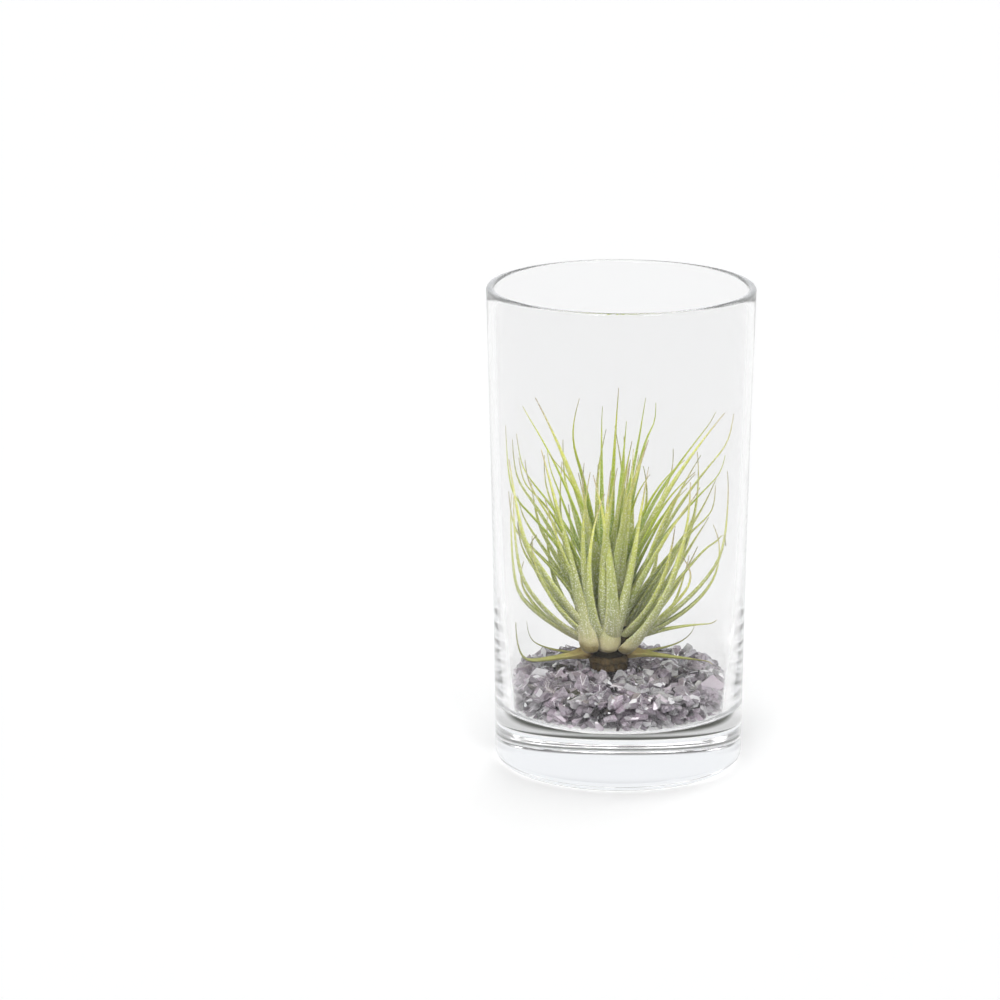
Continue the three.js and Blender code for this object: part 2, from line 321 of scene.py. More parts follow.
def colour(code: str) -> tuple[float, float, float, float]:
    """Converts a colour code for a shader.

    Args:
        code: the colour as a screen shows it, such as a9b388.

    Returns:
        The colour in linear light, with its alpha.
    """
    shown = [int(code[k : k + 2], 16) / 255 for k in (0, 2, 4)]
    linear = [v / 12.92 if v <= 0.04045 else ((v + 0.055) / 1.055) ** 2.4 for v in shown]
    return (*linear, 1.0)


def math_node(operation: str, swapped: bool = False) -> Callable[[Channel, Value], Channel]:
    """A Python operator that stands for one Math node.

    Args:
        operation: what the node does.
        swapped: whether the channel is the second operand.

    Returns:
        The operator.
    """

    def operator(self: Channel, other: Value) -> Channel:
        """The result of the node."""
        first, second = (other, self) if swapped else (self, other)
        return self.paint.node("Math", {"operation": operation}, {0: first, 1: second})

    return operator


@dataclass(frozen=True)
class Channel:
    """A shader socket that takes part in Python expressions."""

    paint: Paint
    socket: bpy.types.NodeSocket

    __add__ = __radd__ = math_node("ADD")
    __sub__, __rsub__ = math_node("SUBTRACT"), math_node("SUBTRACT", swapped=True)
    __mul__ = __rmul__ = math_node("MULTIPLY")

    def rise(self, low: float, high: float) -> Channel:
        """0 where the channel is below low, 1 above high, and a smooth rise between."""
        inputs = {"Value": self, "From Min": low, "From Max": high}
        return self.paint.node("MapRange", {"interpolation_type": "SMOOTHSTEP"}, inputs)


Value = Channel | float


class Paint:
    """A material or world in the making, with short ways to the nodes that the finishes share."""

    def __init__(self, name: str, world: bool = False) -> None:
        """Starts an empty material or world.

        Args:
            name: its name.
            world: whether it is a world.
        """
        self.material = (bpy.data.worlds if world else bpy.data.materials).new(name)
        self.material.use_nodes = True
        self.tree = self.material.node_tree
        self.tree.nodes.clear()

    def node(
        self, kind: str, settings: dict | None = None, inputs: dict | None = None, output: int = 0
    ) -> Channel:
        """Adds one node.

        Args:
            kind: the node's type, without the ShaderNode before it.
            settings: its own settings, or a ramp's stops under "stops".
            inputs: a value or a channel for each socket, by index or name.
            output: which output is wanted.

        Returns:
            That output.
        """
        made = self.tree.nodes.new("ShaderNode" + kind)
        for key, value in (settings or {}).items():
            if key == "stops":
                self._stops(made.color_ramp, value)
            else:
                setattr(made, key, value)
        for key, value in (inputs or {}).items():
            if isinstance(value, Channel):
                self.tree.links.new(value.socket, made.inputs[key])
            else:
                made.inputs[key].default_value = value
        return Channel(self, made.outputs[output])

    @staticmethod
    def _stops(ramp: bpy.types.ColorRamp, stops: Stops) -> None:
        """Fills a colour ramp.

        Args:
            ramp: the ramp.
            stops: its places and colour codes.
        """
        while len(ramp.elements) < len(stops):
            ramp.elements.new(1.0)
        for element, (place, code) in zip(ramp.elements, stops):
            element.position = place
            element.color = colour(code)

    def ramp(self, by: Channel, stops: Stops) -> Channel:
        """The colour that a ramp gives for a channel."""
        return self.node("ValToRGB", {"stops": stops}, {0: by})

    def blend(self, share: Value, first: Channel | str, second: Channel | str) -> Channel:
        """Mixes two colours.

        Args:
            share: the share of the second colour.
            first: a colour or its code.
            second: a colour or its code.

        Returns:
            The mixed colour.
        """
        first, second = (colour(c) if isinstance(c, str) else c for c in (first, second))
        settings = {"data_type": "RGBA", "clamp_factor": True}
        return self.node("Mix", settings, {0: share, 6: first, 7: second}, output=2)

    def attribute(self, name: str) -> Channel:
        """A number that the piece's own points carry."""
        return self.node("Attribute", {"attribute_name": name}, output=2)

    def place(self, scale: tuple[float, float, float] = (1, 1, 1)) -> Channel:
        """Object coordinates, in millimetres and stretched.

        Args:
            scale: how much they are stretched each way.

        Returns:
            The coordinates.
        """
        here = self.node("TexCoord", output=3)
        per_metre = tuple(s / MM for s in scale)
        return self.node("Mapping", {"vector_type": "POINT"}, {"Vector": here, "Scale": per_metre})

    def grain(
        self, per_mm: float, detail: float = 2, rough: float = 0.5, where: Channel | None = None
    ) -> Channel:
        """Noise from 0 to 1, with so many features to a millimetre."""
        inputs = {"Vector": where or self.place(), "Scale": per_mm, "Detail": detail, "Roughness": rough}
        return self.node("TexNoise", {}, inputs)

    def cells(self, per_mm: float, **settings: str) -> Channel:
        """Distances in a pattern of cells, so many to a millimetre."""
        return self.node("TexVoronoi", settings, {"Vector": self.place(), "Scale": per_mm})

    def relief(self, height: Channel, depth: float, share: float) -> Channel:
        """A bumped normal.

        Args:
            height: the relief, from 0 to 1.
            depth: the height of its full range, in millimetres.
            share: how much of it is seen.

        Returns:
            The normal.
        """
        return self.node("Bump", {}, {"Height": height, "Distance": depth * MM, "Strength": share})

    def surface(self, **inputs: Value | tuple) -> Channel:
        """A Principled shader, with its sockets named in words joined by underscores."""
        return self.node("BsdfPrincipled", {}, {k.replace("_", " "): v for k, v in inputs.items()})

    def done(self, shader: Channel) -> bpy.types.Material | bpy.types.World:
        """Ends the material or world.

        Args:
            shader: its shader.

        Returns:
            The material or world.
        """
        world = isinstance(self.material, bpy.types.World)
        end = self.tree.nodes.new("ShaderNodeOutputWorld" if world else "ShaderNodeOutputMaterial")
        self.tree.links.new(shader.socket, end.inputs["Surface"])
        return self.material


@dataclass(frozen=True)
class GlassFinish:
    """Clear pressed glass, with the faint waviness of a moulded wall."""

    tint: str = "f7f7f7"
    skin: str = "959595"
    refraction: float = 1.51
    ripples_per_mm: float = 0.05
    ripple_depth: float = 0.1
    ripple_share: float = 0.15

    def material(self) -> bpy.types.Material:
        """Glass that lamps shine through, so that what stands in it is lit.

        Returns:
            The material.
        """
        paint = Paint("clear_glass")
        ripple = paint.grain(self.ripples_per_mm, detail=0)
        glass = paint.surface(
            Base_Color=colour(self.tint),
            Roughness=0.0,
            IOR=self.refraction,
            Transmission_Weight=1.0,
            Specular_Tint=colour(self.skin),
            Normal=paint.relief(ripple, self.ripple_depth, self.ripple_share),
        )
        lamp_ray = paint.node("LightPath", output=1)
        see_through = paint.node("BsdfTransparent", {}, {"Color": colour(self.tint)})
        return paint.done(paint.node("MixShader", {}, {0: lamp_ray, 1: glass, 2: see_through}))


@dataclass(frozen=True)
class CrystalFinish:
    """A split crystal face: cloudy inside, with painted light and shade on each face and painted glints on
    some faces.
    """

    name: str
    deep: str
    pale: str
    blush: str
    clearness: float
    roughness: float
    up_to: float  # the highest draw that gives a chip of this kind
    painted_glint: str = "fdfdff"
    painted_glint_from: Pair = (0.87, 0.89)  # only faces that draw more than this get the painted glint
    cloud_share: float = 0.9
    tone_share: float = 0.45
    facet_light_share: float = 0.5
    evening: float = 0.47  # brings the mean of the three back to the middle of the range
    flaws_per_mm: float = 0.75
    flaw_width: float = 0.1

    def material(self) -> bpy.types.Material:
        """The crystal, with clouds and flaws, a tone for each chip, painted light and shade for each face,
        painted glints, and a glossy skin.

        Returns:
            The material.
        """
        paint = Paint(self.name)
        cloud, scratch = paint.grain(0.45, detail=5, rough=0.65), paint.grain(1.6, detail=3)
        tone, facet = paint.attribute("tone"), paint.attribute("facet")
        # Each face's draw paints it lighter or darker: painted light and shade in place of the light that
        # its facets refract.
        shade = cloud * self.cloud_share + tone * self.tone_share + facet * self.facet_light_share - self.evening
        body = paint.blend(shade.rise(0.1, 0.9), self.deep, self.pale)
        blushed = paint.grain(0.07, detail=1).rise(0.48, 0.62) * 0.45
        body = paint.blend(blushed, body, self.blush)
        flaw = paint.cells(self.flaws_per_mm, feature="DISTANCE_TO_EDGE").rise(0.0, self.flaw_width)
        body = paint.blend((1 - flaw) * 0.5, body, self.pale)
        # Painted glints: faces that draw high are painted near white, as if they caught a lamp.
        body = paint.blend(facet.rise(*self.painted_glint_from) * 0.85, body, self.painted_glint)
        return paint.done(
            paint.surface(
                Base_Color=body,
                Roughness=self.roughness + scratch * 0.1,
                IOR=1.55,
                Transmission_Weight=self.clearness,
                Coat_Weight=1.0,
                Coat_Roughness=0.02,
                Normal=paint.relief(cloud * 0.6 + scratch * 0.4, 0.5, 0.5),
            )
        )


@dataclass(frozen=True)
class LeafFinish:
    """A living leaf: pale and scurfy at its root, silver-green along it, and thread-brown at its tip."""

    name: str
    along: Stops
    margin: str
    groove: str
    scurf: str = "f8f8e8"
    scurf_low: float = 0.9
    scurf_high: float = 0.6
    scales_per_mm: float = 2.3
    scale_edge: Pair = (0.2, 0.56)  # from the middle of a scale to the gap between scales
    scale_depth: float = 0.9  # how much less scurf the gaps have
    margin_share: float = 0.5
    groove_share: float = 0.5
    vein_share: float = 0.35

    def material(self) -> bpy.types.Material:
        """The leaf's colours along and across it, with its speckle of tiny scales.

        Returns:
            The material.
        """
        paint = Paint(self.name)
        along, across = paint.attribute("along"), paint.attribute("across")
        tone, inner = paint.attribute("tone"), paint.attribute("inner")
        stripe = paint.node("CombineXYZ", {}, {0: across * 9, 1: along * 2.2, 2: tone * 40})
        vein = paint.grain(1.0, detail=2, where=stripe)
        mottle = paint.grain(0.22, detail=3)
        shade = paint.ramp(along + (mottle - 0.5) * 0.12 + (tone - 0.5) * 0.1, self.along)
        edge = (across * across).rise(0.35, 0.95) * along.rise(0.05, 0.3)
        leaf = paint.blend(edge * self.margin_share, shade, self.margin)
        channel = inner.rise(0.1, 0.8) * (1 - edge) * self.groove_share * along.rise(0.1, 0.35)
        leaf = paint.blend(channel, leaf, self.groove)
        veined = vein.rise(0.38, 0.62) * self.vein_share * along.rise(0.03, 0.12)
        leaf = paint.blend(veined, leaf, self.groove)
        gaps = paint.cells(self.scales_per_mm).rise(*self.scale_edge)
        patches = 0.4 + 0.6 * paint.grain(1.3, detail=3).rise(0.38, 0.58)
        scales = (1 - self.scale_depth * gaps) * patches
        cover = self.scurf_low - (self.scurf_low - self.scurf_high) * along.rise(0.1, 0.75)
        speckle = scales * cover * (along + 0.1 * mottle).rise(0.06, 0.26)
        leaf = paint.blend(speckle, leaf, self.scurf)
        return paint.done(
            paint.surface(
                Base_Color=leaf,
                Roughness=0.55 + 0.25 * speckle,
                Specular_IOR_Level=0.35,
                Sheen_Weight=0.25,
                Sheen_Roughness=0.4,
                Subsurface_Weight=0.12,
                Subsurface_Radius=(1.0, 1.0, 0.4),
                Subsurface_Scale=0.8 * MM,
                Normal=paint.relief(scales * 0.6 + vein * 0.4, 0.16, 0.7),
            )
        )


@dataclass(frozen=True)
class DeadFinish:
    """Dry dead tissue, fibrous along its length."""

    name: str
    along: Stops
    fibre: str
    streaks: float = 0
    fibre_share: float = 0.6

    def material(self) -> bpy.types.Material:
        """The dry skin, with its fibres and blotches.

        Returns:
            The material.
        """
        paint = Paint(self.name)
        along, across = paint.attribute("along"), paint.attribute("across")
        tone = paint.attribute("tone")
        lines = paint.node("CombineXYZ", {}, {0: across * 7, 1: along * 3, 2: tone * 30})
        fibre = paint.grain(1.0, detail=3, where=lines)
        blotch = paint.grain(0.5, detail=4, rough=0.6)
        streak = paint.grain(1.1, detail=3, where=paint.place((1, 1, 0.25)))
        skin = paint.ramp(along + (blotch - 0.5) * 0.35, self.along)
        skin = paint.blend(streak.rise(0.4, 0.6) * self.streaks, skin, self.along[0][1])
        fibrous = fibre.rise(0.45, 0.75) * along.rise(-0.1, 0.12) * self.fibre_share
        skin = paint.blend(fibrous, skin, self.fibre)
        return paint.done(
            paint.surface(
                Base_Color=skin,
                Roughness=0.7 + 0.3 * blotch,
                Specular_IOR_Level=0.15,
                Normal=paint.relief(fibre * 0.4 + blotch * 0.3 + streak * 0.3, 0.5, 0.9),
            )
        )


# ---- The tumbler ----


@dataclass(frozen=True)
class Tumbler:
    """The clear tumbler, in millimetres."""

    height: float = 120
    rim_radius: float = 33
    base_radius: float = 30.7
    bow: float = 0.3
    wall: float = 1.9
    swell: float = 2.2
    swell_height: float = 22
    floor: float = 14
    fillet: float = 2
    heel: float = 2.7
    foot_inner: float = 23.5
    recess: float = 0.4
    recess_curve: tuple[Pair, ...] = ((0.3, 0.97), (0.55, 0.8), (0.8, 0.42), (0.95, 0.08))
    levels: tuple[float, ...] = (21, 24, 28, 34, 42, 52, 64, 78, 92, 106)
    under_lip: float = 2
    sides: int = 192
    arc_steps: int = 12
    finish: GlassFinish = GlassFinish()

    def outer(self, z: float) -> float:
        """The outer radius at a height."""
        t = z / self.height
        return lerp(self.base_radius, self.rim_radius, t) - self.bow * 4 * t * (1 - t)

    def inner(self, z: float) -> float:
        """The inner radius at a height."""
        return self.outer(z) - self.wall - self.swell * math.exp((self.floor - z) / self.swell_height)

    def room_at(self, z: float) -> float:
        """The radius that is free at a height, also in the rounded corner of the inner floor.

        Args:
            z: the height.

        Returns:
            The radius.
        """
        corner = self.floor + self.fillet
        if z >= corner:
            return self.inner(z)
        drop = min(self.fillet, corner - z)
        return self.inner(corner) - self.fillet + math.sqrt(self.fillet**2 - drop**2)

    def profile(self) -> list[Pair]:
        """The section from the middle of the underside, round the rim, to the middle of the floor.

        Returns:
            (radius, height) pairs.
        """
        lip = self.wall / 2
        rim, corner = self.height - lip, self.floor + self.fillet
        levels = [*self.levels, rim - self.under_lip]
        heel_radius = self.outer(self.heel) - self.heel
        fillet_radius = self.inner(corner) - self.fillet
        return [
            (0, self.recess),
            *[(self.foot_inner * out, self.recess * up) for out, up in self.recess_curve],
            (self.foot_inner, 0),
            *arc(heel_radius, self.heel, self.heel, -90, 0, self.arc_steps),
            *[(self.outer(z), z) for z in (corner, *levels)],
            *arc(self.outer(rim) - lip, rim, lip, 0, 180, self.arc_steps),
            *[(self.inner(z), z) for z in reversed(levels)],
            *arc(fillet_radius, corner, self.fillet, 0, -90, self.arc_steps),
            (fillet_radius * 0.6, self.floor),
            (0, self.floor),
        ]

    def build(self) -> None:
        """Spins the tumbler, and dresses it in glass."""
        glass = turned("tumbler_glass", self.profile(), self.sides)
        fitted(glass, self.finish.material(), "clear_glass", "glass_tumbler")


# ---- The chip bed ----


class Crystal(Enum):
    """The kinds of crystal chip, each with its finish."""

    LILAC = CrystalFinish("lilac_crystal", "726874", "d4cad3", "c9b2c4", 0.35, 0.06, up_to=0.42)
    MAUVE = CrystalFinish("mauve_crystal", "48424a", "a59da4", "907f90", 0.3, 0.08, up_to=0.74)
    CLEAR = CrystalFinish("clear_crystal", "a9a7ab", "f8f7f8", "dccfdb", 0.6, 0.03, up_to=0.93)
    SMOKE = CrystalFinish("smoky_crystal", "141213", "4e464a", "3f3540", 0.1, 0.05, up_to=1)

    @staticmethod
    def of(draw: float) -> Crystal:
        """The kind of a chip, from a draw between 0 and 1."""
        return next(kind for kind in Crystal if draw < kind.value.up_to)


@dataclass(frozen=True)
class ChipLayer:
    """A layer of chips: how many, from which number on, how large and how high, in millimetres."""

    first: int
    count: int
    small: float
    large: float
    level: float
    spread: float
    ring: bool = False
    turn: float = 0

    def scale(self, i: int) -> float:
        """The size of chip i, as a share of a full chip."""
        return lerp(self.small, self.large, noise(i, 45))

    def height(self, i: int) -> float:
        """The level of the middle of chip i."""
        return self.level + self.spread * sway(i, 44)


@dataclass
class ChipBed:
    """The layer of crushed chips on the tumbler's floor, in millimetres."""

    tumbler: Tumbler
    top: float = 22.6
    wall_gap: float = 0.25
    core_drop: float = 2.6
    chip_half: tuple[float, float, float] = (3.3, 2.3, 1.6)
    layers: tuple[ChipLayer, ...] = (
        ChipLayer(0, 76, 0.66, 0.95, 21.0, 0.6),
        ChipLayer(200, 300, 0.3, 0.58, 21.3, 0.8, turn=1.1),
        ChipLayer(76, 20, 0.6, 0.8, 17.0, 0.4, ring=True),
        ChipLayer(96, 20, 0.6, 0.8, 20.2, 0.4, ring=True, turn=0.16),
        ChipLayer(600, 46, 0.28, 0.5, 15.1, 0.3, ring=True),
        ChipLayer(650, 46, 0.28, 0.54, 16.6, 0.4, ring=True, turn=0.07),
        ChipLayer(700, 46, 0.28, 0.54, 18.2, 0.4, ring=True),
        ChipLayer(750, 46, 0.28, 0.54, 19.8, 0.4, ring=True, turn=0.07),
        ChipLayer(800, 46, 0.28, 0.54, 21.1, 0.5, ring=True),
    )
    fall: float = 1.3
    shapes: int = 12
    cuts: int = 7
    cut_near: float = 0.62
    cut_spread: float = 0.3
    steepest_cut: float = 0.95
    shortest_edge: float = 0.08
    broken_edge: float = 0.04
    tilt: Pair = (55, 40)
    uneven: float = 0.2
    core_inset: float = 2.6
    core_foot: tuple[Pair, ...] = ((-1.6, 0), (-0.4, 1))
    core_shoulder: tuple[Pair, ...] = ((0, -1.2), (-1.4, 0))
    masters: list[Thing] = field(default_factory=list)

    def shard(self, kind: int) -> Thing:
        """A split chip: a block cut by uneven planes, with its edges just broken.

        Args:
            kind: which of the chips this is, for the draws.

        Returns:
            The chip, about 2 units long each way before it is sized.
        """
        chip = added(bpy.ops.mesh.primitive_cube_add, f"shard_{kind}", size=2)
        with edit_mode(chip):
            for cut in range(self.cuts):
                turn = 2 * math.pi * noise(kind, 50 + cut)
                tilt = math.asin(sway(kind, 60 + cut) * self.steepest_cut)
                level = math.cos(tilt)
                normal = Vector((math.cos(turn) * level, math.sin(turn) * level, math.sin(tilt)))
                bpy.ops.mesh.select_all(action="SELECT")
                bpy.ops.mesh.bisect(
                    plane_co=normal * (self.cut_near + self.cut_spread * noise(kind, 70 + cut)),
                    plane_no=normal,
                    use_fill=True,
                    clear_outer=True,
                )
            facing_out(weld=self.shortest_edge)
        bevel = chip.modifiers.new("broken_edges", "BEVEL")
        bevel.width = self.broken_edge
        bevel.segments = 1
        apply_all(chip)
        bpy.ops.object.shade_flat()
        # A draw for each face, which the finish turns into painted light and shade and painted glints.
        facet_lights = chip.data.attributes.new("facet", "FLOAT", "FACE")
        facet_lights.data.foreach_set("value", [noise(kind, 80 + face) for face in range(len(chip.data.polygons))])
        return chip

    def placed(self, i: int, layer: ChipLayer, angle: float, radius: float) -> Thing:
        """Copies a chip, turns it at random and moves it out along an angle as far as the glass lets it.

        Args:
            i: the chip's number, for the draws.
            layer: the layer that it lies in.
            angle: the direction from the tumbler's axis, in radians.
            radius: how far out it goes at most.

        Returns:
            The chip in its place.
        """
        chip = copied(self.masters[int(noise(i, 48) * len(self.masters))], f"chip_{i}")
        roll, pitch = (math.radians(most) for most in self.tilt)
        turn = Euler((roll * sway(i, 41), pitch * sway(i, 42), math.pi * sway(i, 43)))
        uneven = [1 + self.uneven * sway(i, 52 + k) for k in range(3)]
        stretch = [half * layer.scale(i) * share for half, share in zip(self.chip_half, uneven)]
        shape = turn.to_matrix().to_4x4() @ Matrix.Diagonal((*stretch, 1))
        corners = [shape @ vertex.co for vertex in chip.data.vertices]
        lowest = self.tumbler.floor + self.wall_gap - min(corner.z for corner in corners)
        out = Vector((math.cos(angle), math.sin(angle), 0))
        back = max(0, out.y * radius / self.tumbler.base_radius)
        level = max(layer.height(i) - self.fall * back, lowest)
        for corner in corners:
            limit = self.tumbler.room_at(level + corner.z) - self.wall_gap
            across = corner.y * out.x - corner.x * out.y
            radius = min(radius, math.sqrt(max(0, limit**2 - across**2)) - corner.dot(out))
        chip.matrix_world = Matrix.Translation(out * radius + Vector((0, 0, level))) @ shape
        marked(chip, "tone", noise(i, 49))
        return chip

    def laid(self, layer: ChipLayer) -> Iterator[tuple[Crystal, Thing]]:
        """The chips of one layer, in a ring along the glass or spread over the bed.

        Args:
            layer: the layer.

        Yields:
            Each chip's colour, and the chip.
        """
        reach = self.tumbler.inner(self.top) - self.wall_gap
        for k in range(layer.count):
            i = layer.first + k
            if layer.ring:
                angle, radius = (k + 0.3 * sway(i, 46)) / layer.count * 2 * math.pi + layer.turn, reach
            else:
                angle = k * math.radians(GOLDEN_ANGLE) + layer.turn
                radius = reach * math.sqrt((k + 0.5) / layer.count)
            yield Crystal.of(noise(i, 51)), self.placed(i, layer, angle, radius)

    def core(self) -> Thing:
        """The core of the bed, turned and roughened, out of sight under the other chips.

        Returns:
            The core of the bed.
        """
        low, roof = self.tumbler.floor + GAP, self.top - self.core_drop
        side = self.tumbler.inner(self.tumbler.floor + self.tumbler.fillet) - self.core_inset
        foot = [(side + out, low + up) for out, up in self.core_foot]
        shoulder = [(side + out, roof + up) for out, up in self.core_shoulder]
        core = turned("chips_core", [(0, low), *foot, *shoulder, (0, roof)], steps=48)
        roughened(core, cuts=2, depth=0.25, seed=3, spun=True)
        marked(core, "tone", 0.1)
        return core

    def build(self) -> None:
        """Cuts the chips, lays them, and joins them by kind."""
        self.masters = [self.shard(kind) for kind in range(self.shapes)]
        groups: dict[Crystal, list[Thing]] = {crystal: [] for crystal in Crystal}
        groups[Crystal.MAUVE].append(self.core())
        for layer in self.layers:
            for crystal, chip in self.laid(layer):
                groups[crystal].append(chip)
        removed(*self.masters)
        for crystal, chips in groups.items():
            pile = joined(f"chips_{crystal.name.lower()}", chips)
            fitted(pile, crystal.value.material(), "amethyst_chips", "chip_bed")


# ---- Leaves ----


@dataclass(frozen=True)
class Leaf:
    """How one leaf stands, in degrees and millimetres. Azimuth 0 is to the right."""

    azimuth: float
    lean: float
    tip_lean: float
    bend: float
    length: float
    drift: float
    half_width: float
    start_radius: float
    start_height: float
    wave: float = 0
    hook: float = 0
    tone: float = 0.5
    twist: float = 0


@dataclass(frozen=True)
class Stand:
    """Where the plant stands in the tumbler, and how its leaves keep clear of the glass, in millimetres."""

    tumbler: Tumbler
    x: float = -2.5
    y: float = 1.5
    wall_room: float = 1.2
    bend_room: float = 5
    turning_back: float = 0.15
    waves: float = 1.3
    hook_from: float = 0.72
    steps: int = 24

    def seat(self, thing: Thing, tone: float) -> None:
        """Moves a turned piece to the plant's place, and marks it for a finish that runs along leaves.

        Args:
            thing: the piece.
            tone: its tone, from 0 to 1.
        """
        thing.location = (self.x, self.y, 0)
        for name, value in (("along", 0.3), ("across", 0.0), ("tone", tone)):
            marked(thing, name, value)

    def spine(self, leaf: Leaf) -> list[Vector]:
        """A leaf's middle line.

        Args:
            leaf: how it stands.

        Returns:
            Points of distance out, height and distance to the right of its azimuth.
        """
        azimuth = math.radians(leaf.azimuth)
        out = Vector((math.cos(azimuth), math.sin(azimuth)))
        left = Vector((-out.y, out.x))
        step = leaf.length / self.steps
        r, z = leaf.start_radius, leaf.start_height
        points = [Vector((r, z, 0))]
        for k in range(self.steps):
            s = (k + 0.5) / self.steps
            wave = leaf.wave * math.sin(2 * math.pi * s * self.waves) * s
            hook = leaf.hook * smoothstep(s, self.hook_from, 1)
            lean = math.radians(lerp(leaf.lean, leaf.tip_lean, s**leaf.bend) + wave + hook)
            here = Vector((self.x, self.y)) + out * r + left * (leaf.drift * leaf.length * s * s)
            clear = self.tumbler.inner(z) - self.wall_room - here.length
            room = clamp(clear / self.bend_room, -self.turning_back, 1)
            turn = smoothstep(room, 0, 1) if room > 0 else room
            outward = math.sin(lean) * (turn if math.sin(lean) > 0 else 1)
            r += outward * step
            z += math.copysign(math.sqrt(1 - outward * outward), math.cos(lean)) * step
            side = leaf.drift * leaf.length * ((k + 1) / self.steps) ** 2
            points.append(Vector((r, z, -side)))
        return points


@dataclass
class Blade:
    """A straight leaf, one unit long, which every leaf of the plant is copied and bent from."""

    name: str
    stations: tuple[float, ...] = (
        0, 0.006, 0.016, 0.03, 0.05, 0.075, 0.105, 0.14, 0.18, 0.225, 0.275, 0.33, 0.385, 0.44,
        0.495, 0.55, 0.605, 0.655, 0.705, 0.75, 0.795, 0.835, 0.87, 0.905, 0.94, 0.97, 1,
    )
    section: int = 14
    lift: float = 0.8
    keel: float = 0.85
    channel: float = 0.12
    sheath: float = 0
    sheath_place: float = 0.05
    sheath_reach: float = 0.12
    sheath_width: float = 0.12
    sheath_depth: float = 1.0
    root_end: float = 0.05
    root_blunt: float = 0.35
    tip_width: float = 0.045
    taper: float = 1.35
    tip_depth: float = 0.12
    depth_taper: float = 1.25

    def root(self, s: float) -> float:
        """How full the leaf is at a share of its length, as its root is rounded off."""
        t = clamp(s / self.root_end, 0, 1)
        return lerp(self.root_blunt, 1, math.sqrt(t * (2 - t)))

    def swelling(self, s: float) -> float:
        """How far the leaf is swollen into a sheath at a share of its length."""
        return self.sheath * math.exp(-(((s - self.sheath_place) / self.sheath_reach) ** 2))

    def width(self, s: float) -> float:
        """Half the width at a share of the length, as a share of the leaf's own half width."""
        body = (1 - s) ** self.taper + self.sheath_width * self.swelling(s)
        return self.tip_width + 0.98 * self.root(s) * body

    def depth(self, s: float) -> float:
        """The depth of the section at a share of the length, as a share of the root's."""
        body = (1 - self.tip_depth) * (1 - s) ** self.depth_taper
        return self.root(s) * (self.tip_depth + body + self.sheath_depth * self.swelling(s))

    def build(self) -> Thing:
        """Extrudes the leaf along X from a channelled section, with its inner face to +Y.

        Returns:
            The leaf.
        """
        upright = (0, math.pi / 2, 0)
        blade = added(
            bpy.ops.mesh.primitive_circle_add,
            self.name,
            vertices=self.section,
            radius=1,
            fill_type="NGON",
            rotation=upright,
        )
        settled(blade)
        self._shape_section(blade)
        with edit_mode(blade):
            size = (1, self.depth(0), self.width(0))
            bpy.ops.transform.resize(value=size, center_override=(0, 0, 0))
            for before, after in zip(self.stations, self.stations[1:]):
                bpy.ops.mesh.extrude_region_move(TRANSFORM_OT_translate={"value": (after - before, 0, 0)})
                ratio = (1, self.depth(after) / self.depth(before), self.width(after) / self.width(before))
                bpy.ops.transform.resize(value=ratio, center_override=(after, 0, 0))
            facing_out()
        bpy.ops.object.shade_smooth()
        along = blade.data.attributes.new("along", "FLOAT", "POINT")
        along.data.foreach_set("value", [vertex.co.x for vertex in blade.data.vertices])
        return blade

    def _shape_section(self, blade: Thing) -> None:
        """Bends the round section into a channel, and notes how far across and inside each point is.

        Args:
            blade: the section, with its width along Z and its inner face to +Y.
        """
        across = blade.data.attributes.new("across", "FLOAT", "POINT")
        inner = blade.data.attributes.new("inner", "FLOAT", "POINT")
        for k, vertex in enumerate(blade.data.vertices):
            side, rise = vertex.co.z, vertex.co.y
            across.data[k].value = side
            inner.data[k].value = rise
            thick = self.channel * rise if rise > 0 else self.keel * rise
            vertex.co.y = self.lift * side * side + thick


@dataclass
class LeafBender:
    """Bends copies of a straight blade along the middle lines of the plant's leaves."""

    stand: Stand
    path: Thing | None = None

    def _route(self, leaf: Leaf) -> Thing:
        """Lays the one guiding curve along a leaf's middle line, with the leaf's twist.

        Args:
            leaf: how the leaf stands.

        Returns:
            The curve.
        """
        points = self.stand.spine(leaf)
        if self.path is None:
            self.path = added(bpy.ops.curve.primitive_nurbs_path_add, "leaf_path")
            self.path.data.splines[0].points.add(len(points) - len(self.path.data.splines[0].points))
            self.path.data.twist_mode = "Z_UP"
            self.path.data.use_stretch = True
            self.path.data.use_deform_bounds = True
            self.path.data.use_radius = False
            self.path.data.resolution_u = 6
        spline = self.path.data.splines[0]
        spline.order_u = 4
        spline.use_endpoint_u = True
        for k, (point, place) in enumerate(zip(spline.points, points)):
            point.co = (*place, 1)
            point.tilt = math.radians(leaf.twist) * (k / self.stand.steps) ** 1.5
        self.path.data.update_tag()
        return self.path

    def bent(self, blade: Thing, name: str, leaf: Leaf, depth: float) -> Thing:
        """One leaf in its place.

        Args:
            blade: the straight blade to copy.
            name: the leaf's name.
            leaf: how it stands.
            depth: the leaf's depth at its root, in millimetres.

        Returns:
            The leaf.
        """
        copy = copied(blade, name)
        copy.data.transform(Matrix.Diagonal((leaf.length, depth, leaf.half_width, 1)))
        marked(copy, "tone", leaf.tone)
        bend = copy.modifiers.new("bend", "CURVE")
        bend.object = self._route(leaf)
        bend.deform_axis = "POS_X"
        apply_all(copy)
        azimuth = math.radians(leaf.azimuth)
        out = Vector((math.cos(azimuth), math.sin(azimuth), 0))
        up = Vector((0, 0, 1))
        turn = Matrix((out, up, out.cross(up))).transposed().to_4x4()
        copy.matrix_world = Matrix.Translation((self.stand.x, self.stand.y, 0)) @ turn
        return copy


